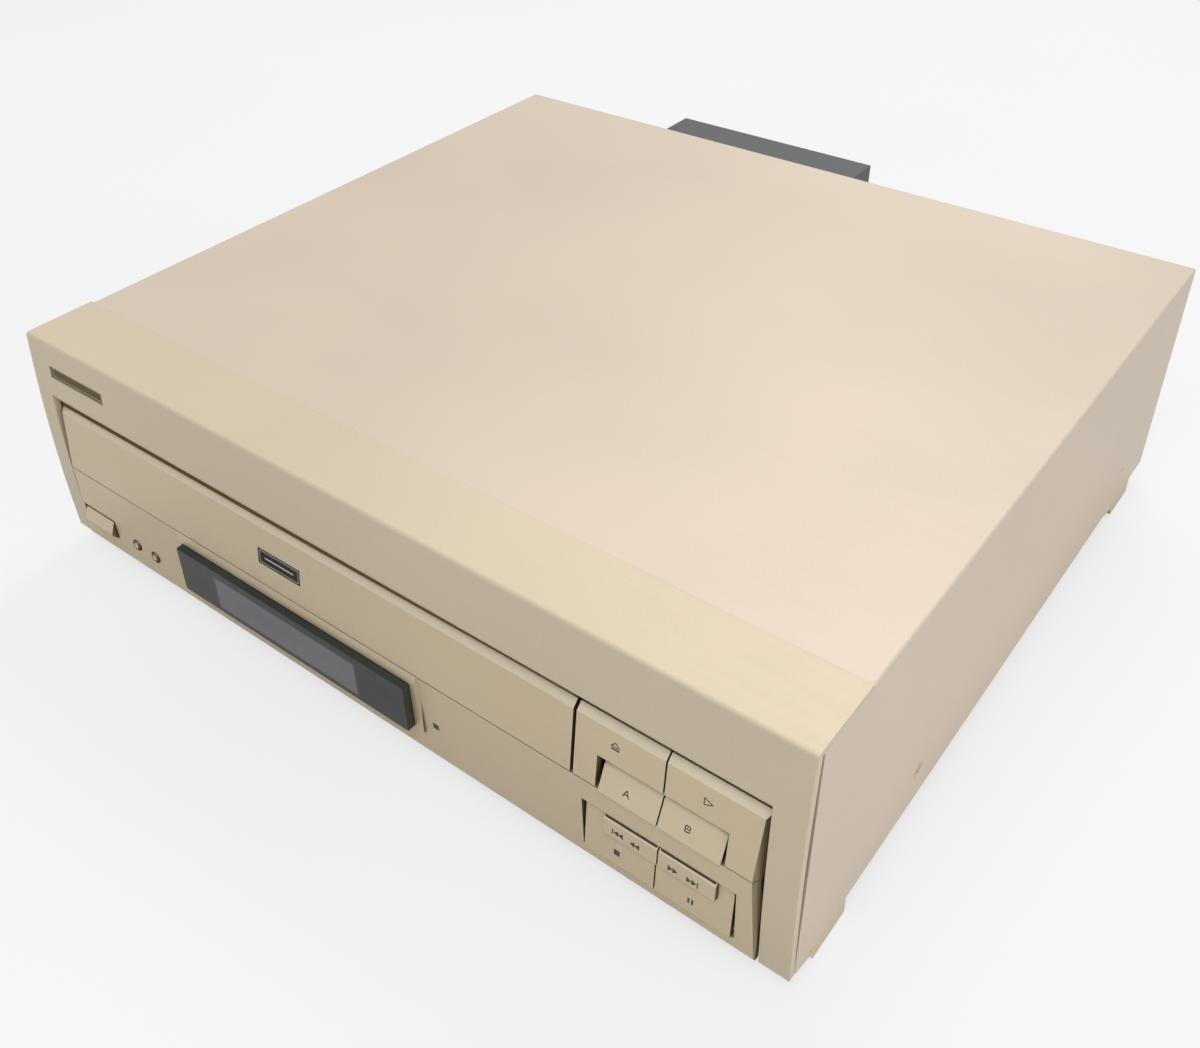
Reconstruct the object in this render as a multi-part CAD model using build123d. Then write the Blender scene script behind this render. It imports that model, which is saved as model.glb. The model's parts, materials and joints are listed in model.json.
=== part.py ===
from build123d import *
import math
import os

# Disc player with a sliding tray for 12 inch and 5 inch discs.
# X runs left to right, Y runs from the front to the rear, Z is up from the surface under the feet.
# Places along the depth are given as a distance behind the front panel's top edge.

# Case
width = 420.0
case_depth = 398.0
bulge_depth = 44.0
window_proud = 4.7
top_z = 129.0
foot_height = 9.2
sheet = 1.0
strip_depth = 38.0
strip_thick = 2.5
cover_step = 0.8
seam = 0.3
gap = 0.4
panel_bottom = 9.0
frame_lean = 4.7
frame_thick = 3.6

# Opening for the door and the control panel
half = width / 2
left_post = 11.0
right_post = 12.5
open_left = -half + left_post
open_right = half - right_post
open_top = 97.5
lip_depth = 2.8
lip_drop = 4.4
bevel_wide = 2.7
bevel_deep = 3.9
face_left = open_left + 3.5
face_right = open_right - 3.7
crease_z = 55.4
crease_out = 0.3
upper_back = 1.7
upper_z = 86.9
door_top = 89.8
door_top_back = 4.5
lower_back = 3.0
lower_z = 14.0
slab_thick = 3.2

# Door and the two large buttons beside it
play_wide = 37.1
eject_wide = 38.3
play_left = face_right - play_wide
eject_right = play_left - 0.7
eject_left = eject_right - eject_wide
door_right = eject_left - 1.5

# Small keys
key_thick = 2.4
key_bevel = 1.2
key_split = 0.3
key_clear = 1.2
key_joint = 0.25
side_open = (eject_left + 10.1, face_right - 10.9, 71.5)
side_mid = play_left - 1.3
side_a_clear = 2.0
side_a_ends = (side_open[0] + side_a_clear, side_mid - key_split)
side_b_ends = (side_mid + key_split, side_open[1] - key_clear)
side_key_top = 68.0
side_sink = 2.3
side_proud = 1.2
side_stem_drop = 4.0
ring_open = (eject_left + 3.5, face_right - 5.8, 16.0, 43.5)
skip_mid = play_left - 1.2
skip_back_ends = (ring_open[0] + 10.0, skip_mid - key_split)
skip_forward_ends = (skip_mid + key_split, ring_open[1] - 8.0)
skip_bottom = 32.5
skip_top = 41.4
skip_proud = 1.6
skip_stem_drop = 3.0
stop_mid = play_left - 2.5
stop_ends = (ring_open[0] + key_clear, stop_mid - key_split)
pause_ends = (stop_mid + key_split, ring_open[1] - key_clear)
stop_low = ring_open[2] + 0.4
stop_high = ring_open[3] - 0.6
stop_sink = 1.7
stop_stem = 10.0
stop_proud = 1.2

# Display window
window_wide = 144.2
window_left = face_left + 86.0
window_right = window_left + window_wide
window_bottom = 24.0
window_top = 49.7
window_bottom_proud = 3.2
flare_out = 1.2
flare_side = 5.0
flare_edge = 0.5

# Power button and the two round buttons
power_box = (face_left + 1.5, face_left + 23.8, 20.0, 30.0)
power_gap = 1.6
power_ridge = 24.0
power_proud = 3.0
power_foot = 0.6
power_flat = 1.0
power_sink = 0.1
round_centres = ((face_left + 41.2, 24.1), (face_left + 55.6, 23.7))
round_r = 2.2
round_ring_r = 3.3
round_proud = 0.8

# Badge and emblem plates
badge_box = (-half + 14.5, -half + 55.5, 108.6, 115.7)
badge_sink = 0.8
emblem_box = (-55.0, -28.5, 66.4, 75.0)
plate_thick = 0.5

# Disc, tray and drive
disc_offset = 0.25
disc_back = 165.0
disc_r = 151.0
small_disc_r = 60.5
tray_left = face_left + 1.0
tray_right = door_right - 2.2
tray_bottom = 64.0
tray_top = 79.0
tray_front = 7.0
disc_x = (tray_left + tray_right) / 2 + disc_offset
tray_tail = case_depth - 18.0
large_seat = 73.0
small_seat = 69.0
slot_wide = 70.0
tooth_module = 1.5
drive_teeth = 24
pinion_teeth = 12
rack_x = tray_left + 16.5
drive_back = 40.0
belt_run = 45.0
pulley_r = 17.0
motor_pulley_r = 4.0
backlash = 0.25
shaft_clear = 0.05

# Mechanism
base_z = 40.0
base_thick = 2.0
base_front = 24.0
base_rear = case_depth - 16.0
wall_top = 86.0
turntable_r = 30.0
turntable_z = 75.0
hub_r = 7.4
clamper_r = 32.0
spindle_motor_r = 18.0
arm_pivot_back = disc_back + 97.0
arm_pivot_z = 93.0
arm_pin_r = 2.0
rod_r = 2.0
rod_z = 51.0
rod_spread = 18.0
sled_travel = 98.0
sled_back = disc_back + 50.0
sled_long = 30.0
sled_teeth = 20
sled_module = 1.0
sled_gear_back = sled_back + 95.0

# Rear
bulge_left = -116.6
bulge_right = 15.1
bulge_top = 119.0
bulge_bottom = 30.0
bulge_wall = 1.6
bulge_tab_z = 60.0
jack_left = bulge_right + 14.9
jack_right = jack_left + 88.0
jack_z = 50.0
jack_count = 6
inlet_x = half - 50.0
inlet_z = 40.0
rear_corner = half - 20.0
rear_screws = [(bulge_left - 5, bulge_tab_z), (bulge_right + 5, bulge_tab_z)]
rear_screws += [(side * rear_corner, z) for z in (25.0, 110.0) for side in (-1, 1)]

# Screws, vents and boards
side_screws = ((105.6, 27.5), (case_depth - 43.1, 28.5))
screw_hole_r = 3.8
screw_r = 1.5
flange_top = 36.0
vent_count = 8
vent_pitch = 12.0
boss_places = (-150.0, -60.0, 60.0, face_right - 3.8)
window_seat = 2.2
window_inner = 5.4
window_rim = 2.0
power_inner = 5.0
stem_back = 12.5
stem_root = 0.6
stem_r = 1.5
switch_deep = 3.0
board_back = 17.0
tube_back = board_back - 5.4
board_thick = 1.6
board_z = 20.0
board_left = door_right + 5.8
board_front = 50.0
board_rear = case_depth - 113.0
block_stem_z = 78.0
block_stems = (eject_left + 5, eject_right - 6, play_left + 6, face_right - 5)
rack_low = 56.0
rail_rear = disc_back + 65.0
damper_x = (tray_left + 8.5, tray_right - 10.0)
damper_b = (72.0, case_depth - 48.0)

front_y = window_proud - (window_proud + case_depth + bulge_depth) / 2
floor_z = foot_height + sheet
cover_z = top_z - cover_step
base_top = base_z + base_thick
parts = {}


def block(x0, x1, b0, b1, z0, z1):
    """Box between two corners; b0 and b1 are distances behind the front."""
    size = Box(x1 - x0, b1 - b0, z1 - z0)
    return Pos((x0 + x1) / 2, front_y + (b0 + b1) / 2, (z0 + z1) / 2) * size


def post(x, b, z0, z1, r):
    """Upright round post."""
    return Pos(x, front_y + b, (z0 + z1) / 2) * Cylinder(r, z1 - z0)


def rod_y(x, z, b0, b1, r):
    """Round rod along the depth."""
    return Pos(x, front_y + (b0 + b1) / 2, z) * Rot(90, 0, 0) * Cylinder(r, b1 - b0)


def rod_x(x0, x1, b, z, r):
    """Round rod across the width."""
    return Pos((x0 + x1) / 2, front_y + b, z) * Rot(0, 90, 0) * Cylinder(r, x1 - x0)


def side_point(b, z):
    """Point in the middle plane from its distance behind the front and its height."""
    return (0, front_y + b, z)


def side_profile(points, x0, x1):
    """Prism across the width from (distance behind front, height) points."""
    face = make_face(Polyline(*[side_point(b, z) for b, z in points], close=True))
    return Pos(x0, 0, 0) * extrude(face, amount=x1 - x0, dir=(1, 0, 0))


def plan(points, z0, z1):
    """Upright prism from (x, distance behind front) points."""
    face = make_face(Polyline(*[(x, front_y + b, z0) for x, b in points], close=True))
    return extrude(face, amount=z1 - z0, dir=(0, 0, 1))


def face_back(z):
    """Distance of the door's and control panel's face behind the front, at height z."""
    if z > upper_z:
        rise = (z - upper_z) / (door_top - upper_z)
        return upper_back + rise * (door_top_back - upper_back)
    if z > crease_z:
        rise = (z - crease_z) / (upper_z - crease_z)
        return -crease_out + rise * (upper_back + crease_out)
    drop = (crease_z - z) / (crease_z - lower_z)
    return -crease_out + drop * (lower_back + crease_out)


def skin(z0, z1, x0, x1, thick=slab_thick):
    """Plate that follows the leaning face between two heights."""
    stops = [z for z in (crease_z, upper_z) if z0 < z < z1]
    heights = [z0] + stops + [z1]
    outer = [(face_back(z), z) for z in heights]
    inner = [(face_back(z) + thick, z) for z in reversed(heights)]
    if z1 > upper_z:
        ridge = door_top_back + 0.4
        inner = [(ridge, z1), (ridge + thick / 2, z1 - thick)] + inner[2:]
    return side_profile(outer + inner, x0, x1)


def end_bevel(x_edge, side):
    """Wedge taken off the end of a face; side is -1 at the left and +1 at the right."""
    reach = 40.0
    x_foot = x_edge + side * bevel_wide
    x_far = x_edge + side * reach
    points = [(x_edge, -reach), (x_edge, 0.0), (x_foot, bevel_deep), (x_far, bevel_deep)]
    points.append((x_far, -reach))
    return plan(points, 0.0, top_z)


def key(x0, x1, z0, z1, low, high):
    """Key whose face runs from one distance behind the front to another, with a bevel along its top."""
    points = [(low, z0), (high, z1 - key_bevel), (high + key_bevel, z1)]
    points += [(high + key_thick, z1), (low + key_thick, z0)]
    return side_profile(points, x0, x1)


def middle(pair):
    """Middle of two values."""
    return (pair[0] + pair[1]) / 2


def stem(x, z, b0, b1):
    """Stem behind a key that reaches towards its switch."""
    return rod_y(x, z, b0, b1, stem_r)


def gear(x, b, z0, z1, teeth, module, bore, turn=0.0):
    """Spur gear on an upright axis; a tooth points along +X when turn is zero."""
    pitch_r = teeth * module / 2
    pressure = math.radians(20)
    base_r = pitch_r * math.cos(pressure)
    tip_r = pitch_r + module * 0.95
    root_r = pitch_r - module * 1.25
    inv = math.tan(pressure) - pressure
    thick = math.pi / (2 * teeth) - backlash / (2 * pitch_r)
    steps = 4
    low_r = max(base_r, root_r)
    flank = []
    for i in range(steps + 1):
        r = low_r + (tip_r - low_r) * i / steps
        a = math.acos(min(1.0, base_r / r))
        flank.append((r, thick + inv - (math.tan(a) - a)))
    outline = []
    for n in range(teeth):
        centre = 2 * math.pi * n / teeth + math.radians(turn)
        up = [(root_r, thick + inv)] if root_r < low_r else []
        for r, half_angle in up + flank:
            outline.append((r, centre - half_angle))
        for r, half_angle in reversed(up + flank):
            outline.append((r, centre + half_angle))
    points = [(x + r * math.cos(a), b + r * math.sin(a)) for r, a in outline]
    return plan(points, z0, z1) - post(x, b, z0 - 1, z1 + 1, bore)


def rack(pitch_x, b0, b1, z0, z1, module, facing, space_at, depth=3.0):
    """Straight rack along the depth; facing is the side its teeth point to."""
    pitch = math.pi * module
    slope = math.tan(math.radians(20))
    add = module * 0.95
    ded = module * 1.25
    count = int((b1 - b0) / pitch)
    first = space_at - pitch * math.floor((space_at - b0) / pitch) + pitch / 2
    points = [(pitch_x - facing * (ded + depth), b0), (pitch_x - facing * ded, b0)]
    half_tooth = pitch / 4 - backlash / 2
    for n in range(count):
        c = first + n * pitch
        if c + pitch / 2 > b1:
            break
        points.append((pitch_x - facing * ded, c - half_tooth - ded * slope))
        points.append((pitch_x + facing * add, c - half_tooth + add * slope))
        points.append((pitch_x + facing * add, c + half_tooth - add * slope))
        points.append((pitch_x - facing * ded, c + half_tooth + ded * slope))
    points += [(pitch_x - facing * ded, b1), (pitch_x - facing * (ded + depth), b1)]
    return plan(points, z0, z1)


def make_case():
    """Front panel, cover, chassis, rear panel, bulge, feet, screws and plates."""
    # Front frame: face in one long arc, rounded top edge, top strip and the opening in the middle
    bend = 0.5
    waist = 69.0
    edge_r = 1.6
    back_top = top_z - strip_thick
    foot_in = side_point(frame_lean, panel_bottom)
    foot_back = side_point(frame_lean + frame_thick, panel_bottom)
    brow_in = side_point(0.0, top_z - edge_r)
    outline = ThreePointArc(foot_in, side_point(bend, waist), brow_in)
    inset = edge_r * (1 - math.sqrt(0.5))
    outline += ThreePointArc(brow_in, side_point(inset, top_z - inset), side_point(edge_r, top_z))
    corners = [(edge_r, top_z), (strip_depth, top_z), (strip_depth, back_top), (frame_thick, back_top)]
    outline += Polyline(*[side_point(b, z) for b, z in corners])
    waist_back = side_point(bend + frame_thick, waist)
    outline += ThreePointArc(side_point(frame_thick, back_top), waist_back, foot_back)
    outline += Line(foot_back, foot_in)
    panel = Pos(-half, 0, 0) * extrude(make_face(outline), amount=width, dir=(1, 0, 0))
    panel -= block(open_left, open_right, -10, strip_depth / 2, 0, open_top)
    lip_back = frame_thick + 0.6
    lip_z = open_top - lip_drop
    lip = [(0.3, open_top), (lip_depth, lip_z), (lip_back, lip_z)]
    lip += [(lip_back, open_top + 1), (0.4, open_top + 1)]
    panel += side_profile(lip, open_left, open_right)
    x0, x1, z0, z1 = badge_box
    seat_b = badge_sink + 0.3
    edge = 0.3
    panel -= block(x0, x1, -1, seat_b, z0, z1)
    for side_x in (-half + 6.0, half - 12.0):
        panel += block(side_x, side_x + 6.0, frame_thick - 1.0, 12.0, 100.0, 104.0)
    parts["front_panel"] = panel
    parts["badge_plate"] = block(x0 + edge, x1 - edge, seat_b - plate_thick, seat_b, z0 + edge, z1 - edge)

    # Cover: roof and two side walls, with dimples for the side screws
    roof = block(-half, half, strip_depth + seam, case_depth, cover_z - sheet, cover_z)
    roof = fillet(roof.edges().filter_by(Axis.Y).group_by(Axis.Z)[-1], 0.9)
    under = top_z - strip_thick - 0.2
    cover = roof
    for side in (-1, 1):
        x_out = side * half
        x_in = side * (half - sheet)
        lo, hi = sorted((x_out, x_in))
        lean = frame_lean + frame_thick + 0.3
        wall = [(lean, foot_height), (frame_thick + 1.4, under), (strip_depth + seam, under)]
        wall += [(strip_depth + seam, cover_z - sheet), (case_depth, cover_z - sheet)]
        wall.append((case_depth, foot_height))
        cover += side_profile(wall, lo, hi)
    for side in (-1, 1):
        for b, z in side_screws:
            cover -= rod_x(-2 + side * half, 2 + side * half, b, z, screw_hole_r)
    parts["top_cover"] = cover

    # Chassis: floor with side flanges and a short front flange
    inner = half - sheet - gap
    chassis = block(-inner, inner, 9.2, case_depth - 3.2, foot_height, floor_z)
    for side in (-1, 1):
        lo, hi = sorted((side * inner, side * (inner - sheet)))
        chassis += block(lo, hi, 12.0, case_depth - 3.2, foot_height, flange_top)
    for side in (-1, 1):
        for b, z in side_screws:
            chassis -= rod_x(side * inner - 3, side * inner + 3, b, z, screw_r + shaft_clear)
    chassis += block(-inner, inner, 9.2, 9.2 + sheet, foot_height, 13.5)
    for n in range(vent_count):
        vent_b = 120.0 + n * vent_pitch
        chassis -= block(-150, -30, vent_b, vent_b + 3.0, 0, floor_z + 1)
    parts["bottom_chassis"] = chassis

    # Side screws: head outside the cover, thread through the flange
    screws = None
    for side in (-1, 1):
        for b, z in side_screws:
            x_out = side * half
            lo, hi = sorted((x_out, x_out + side * 1.2))
            inside = side * (inner - sheet - 2)
            s_lo, s_hi = sorted((x_out, inside))
            screw = rod_x(s_lo, s_hi, b, z, screw_r)
            head_lo, head_hi = sorted((side * (half - sheet + 0.05), x_out))
            screw += rod_x(head_lo, head_hi, b, z, screw_hole_r - 0.05)
            slot = Box(0.6, 4.0, 0.9) + Box(0.6, 0.9, 4.0)
            screw -= Pos(x_out, front_y + b, z) * slot
            screws = screw if screws is None else screws + screw
    parts["cover_screws"] = screws

    # Rear panel with openings for the bulge, the sockets and the mains inlet
    rear_front = case_depth - 2.8
    rear = block(-inner, inner, rear_front, rear_front + 1.2, floor_z + 0.05, cover_z - sheet - 0.05)
    rear -= block(bulge_left + 3, bulge_right - 3, 0, 500, bulge_bottom + 3, bulge_top - 3)
    rear -= block(jack_left, jack_right, 0, 500, jack_z - 9, jack_z + 9)
    rear -= block(inlet_x - 12.2, inlet_x + 12.2, 0, 500, inlet_z - 8.2, inlet_z + 8.2)
    for x, z in rear_screws:
        rear -= rod_y(x, z, 0, 500, screw_r + shaft_clear)
    parts["rear_panel"] = rear

    # Bulge: thin box open at the front, with two flanges screwed to the rear panel
    b0 = rear_front + 1.2
    b1 = case_depth + bulge_depth
    bulge = block(bulge_left, bulge_right, b0, b1, bulge_bottom, bulge_top)
    w = bulge_wall
    edges = bulge.edges().filter_by(Axis.X).group_by(Axis.Y)[-1]
    edges += bulge.edges().filter_by(Axis.Z).group_by(Axis.Y)[-1]
    bulge = chamfer(edges, 1.2)
    bulge -= block(bulge_left + w, bulge_right - w, b0 - 1, b1 - w, bulge_bottom + w, bulge_top - w)
    for x0, x1 in ((bulge_left - 9, bulge_left + 0.5), (bulge_right - 0.5, bulge_right + 9)):
        bulge += block(x0, x1, b0, b0 + 1.4, 45, 75)
    for x, z in rear_screws[:2]:
        bulge -= rod_y(x, z, 0, 500, screw_r + shaft_clear)
    parts["rear_bulge_cover"] = bulge

    heads = None
    for n, (x, z) in enumerate(rear_screws):
        seat = b0 + (1.4 if n < 2 else 0.0)
        screw = rod_y(x, z, b0 - 4, seat, screw_r) + rod_y(x, z, seat, seat + 1.4, 3.2)
        screw -= Pos(x, front_y + seat + 1.4, z) * (Box(3.6, 1.0, 0.8) + Box(0.8, 1.0, 3.6))
        heads = screw if heads is None else heads + screw
    parts["rear_screws"] = heads

    # Feet
    foot_wide = 26.0
    shape = [(9.4, foot_height), (9.4, 8.0), (20.5, 5.3), (24.0, 0.0), (49.0, 0.0), (48.4, foot_height)]
    front_feet = None
    rear_feet = None
    rear_at = 330.0
    for side in (-1, 1):
        lo, hi = sorted((side * half, side * (half - foot_wide)))
        foot = side_profile(shape, lo, hi)
        foot -= rod_x(lo - 1, hi + 1, 21.2, 7.0, 0.8)
        front_feet = foot if front_feet is None else front_feet + foot
        back_foot = side_profile([(b + rear_at, z) for b, z in shape], lo, hi)
        rear_feet = back_foot if rear_feet is None else rear_feet + back_foot
    parts["front_feet"] = front_feet
    parts["rear_feet"] = rear_feet


def make_controls():
    """Control panel, display window, buttons and keys."""
    # Panel below the door
    panel_top = crease_z - 0.3
    skin_bottom = panel_bottom + 2.0
    panel = skin(skin_bottom, panel_top, face_left - bevel_wide, face_right + bevel_wide)
    low_back = face_back(skin_bottom)
    foot = [(low_back, skin_bottom), (low_back + 0.7, panel_bottom + 0.6), (low_back + 2.0, panel_bottom)]
    foot += [(low_back + slab_thick, panel_bottom), (low_back + slab_thick, skin_bottom)]
    panel += side_profile(foot, face_left - bevel_wide, face_right + bevel_wide)
    # Flare round the window
    back_at = 2.0
    outer_left = window_left - 6.5
    outer_right = window_right + flare_side
    outer_low = window_bottom - 2.4
    inner_left = window_left - 1.2
    inner_right = window_right + flare_edge
    inner_low = window_bottom - 0.6
    inner_high = window_top + 0.5
    rise = [(face_back(outer_low), outer_low), (face_back(inner_low) - flare_out, inner_low)]
    rise += [(face_back(inner_high) - flare_out, inner_high), (face_back(panel_top), panel_top)]
    rise += [(back_at + 2, panel_top), (back_at + 3, outer_low)]
    flare = side_profile(rise, outer_left, outer_right)
    for foot_x, brow_x in ((outer_left - 1, inner_left), (outer_right + 1, inner_right)):
        slope = [(foot_x, -6), (brow_x, -6), (brow_x, -flare_out - 1.2), (foot_x, 1.4)]
        flare -= plan(slope, 0, crease_z + 20)
    panel += flare
    panel -= end_bevel(face_left, -1)
    panel -= end_bevel(face_right, 1)
    fit = 0.3
    rim = window_rim - fit
    panel -= block(window_left + rim, window_right - rim, -20, 20, window_bottom + rim, window_top - rim)
    slack = 0.2
    bed = (window_left - slack, window_right + slack)
    panel -= block(*bed, -20, window_seat, window_bottom - slack, window_top + slack)
    x0, x1, z0, z1 = power_box
    panel -= block(x0 - power_gap, x1 + power_gap, -20, 20, z0 - fit, z1 + power_gap)
    for x, z in round_centres:
        panel -= rod_y(x, z, -20, 20, round_r + 0.3)
        panel -= rod_y(x, z, -20, face_back(z) + 0.9, round_ring_r)
    x0, x1, z0, z1 = ring_open
    panel -= block(x0, x1, -20, 20, z0, z1)
    # Bosses that meet the chassis flange
    for x in boss_places:
        panel += block(x - 3, x + 3, low_back + slab_thick - 1.0, 9.2, panel_bottom + 1, 13.4)
    places = [(window_left - 8.5, tube_back), (window_right + 3.3, tube_back)]
    places.append((eject_left + 1.9, board_back))
    for x, b in places:
        panel += block(x - 1.2, x + 1.2, 3.0, b, 26.0, 30.0)
    parts["control_panel"] = panel

    # Smoked window standing proud of the panel
    points = [(-window_proud, window_top), (-window_bottom_proud, window_bottom)]
    points += [(window_seat - 0.05, window_bottom), (window_seat - 0.05, window_top)]
    window = side_profile(points, window_left, window_right)
    window = chamfer(window.edges().filter_by(Axis.X).group_by(Axis.Y)[0], 0.4)
    rim = window_rim
    bed = (window_left + rim, window_right - rim)
    window += block(*bed, window_seat - 0.5, window_inner, window_bottom + rim, window_top - rim)
    parts["display_window"] = window

    # Power button: its face slopes out to a ridge
    x0, x1, z0, z1 = power_box
    face0 = face_back(z0)
    ridge = face0 - power_proud
    points = [(face0 - power_foot, z0), (ridge, power_ridge - power_flat), (ridge, power_ridge)]
    points += [(face_back(z1) + power_sink, z1), (power_inner, z1), (power_inner, z0)]
    body = side_profile(points, x0, x1)
    parts["power_button"] = body + stem(middle((x0, x1)), middle((z0, z1)), power_inner, stem_back)
    for name, (x, z) in zip(("round_button_left", "round_button_right"), round_centres):
        start = face_back(z) - round_proud
        button = rod_y(x, z, start, start + 7.0, round_r)
        button = fillet(button.edges().group_by(Axis.Y)[0], 0.5)
        parts[name] = button + rod_y(x, z, start + 6.5, stem_back, 1.4)

    # Eject and play blocks with a notch for the two side keys
    notch_left, notch_right, notch_top = side_open
    door_bottom = crease_z + 0.2
    eject = skin(door_bottom, door_top, eject_left, eject_right)
    eject -= block(notch_left, eject_right + 1, -20, 20, 0, notch_top)
    for x in block_stems[:2]:
        eject += stem(x, block_stem_z, 3.0, stem_back)
    parts["eject_button"] = eject
    play = skin(door_bottom, door_top, play_left, face_right + bevel_wide)
    play -= end_bevel(face_right, 1)
    play -= block(play_left - 1, notch_right, -20, 20, 0, notch_top)
    for x in block_stems[2:]:
        play += stem(x, block_stem_z, 3.0, stem_back)
    parts["play_button"] = play

    low = face_back(door_bottom) - side_proud
    high = face_back(side_key_top) + side_sink
    for name, (x0, x1) in (("side_a_key", side_a_ends), ("side_b_key", side_b_ends)):
        body = key(x0, x1, door_bottom, side_key_top, low, high)
        stem_z = side_key_top - side_stem_drop
        parts[name] = body + stem(middle((x0, x1)), stem_z, high + stem_root, stem_back)
    stop_front = face_back(stop_low) - stop_proud
    stop_back = face_back(stop_high) + stop_sink
    lean = (stop_back - stop_front) / (stop_high - stop_low)
    skip_front = stop_front + lean * (skip_bottom - stop_low) - skip_proud
    high = skip_front + lean * (skip_top - skip_bottom)
    for name, (x0, x1) in (("skip_back_key", skip_back_ends), ("skip_forward_key", skip_forward_ends)):
        body = key(x0, x1, skip_bottom, skip_top, skip_front, high)
        stem_z = skip_top - skip_stem_drop
        parts[name] = body + stem(middle((x0, x1)), stem_z, high + 2 * stem_root, stem_back)
    notch_low = skip_bottom - key_joint
    stem_z = stop_low + stop_stem
    x0, x1 = stop_ends
    body = key(x0, x1, stop_low, stop_high, stop_front, stop_back)
    body -= block(skip_back_ends[0] - key_joint, x1 + 1, -20, 20, notch_low, crease_z)
    parts["stop_key"] = body + stem(x0 + stop_stem, stem_z, stop_front + 2 * stem_root, stem_back)
    x0, x1 = pause_ends
    body = key(x0, x1, stop_low, stop_high, stop_front, stop_back)
    body -= block(x0 - 1, skip_forward_ends[1] + key_joint, -20, 20, notch_low, crease_z)
    parts["pause_key"] = body + stem(x1 - stop_stem, stem_z, stop_front + 2 * stem_root, stem_back)


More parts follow.
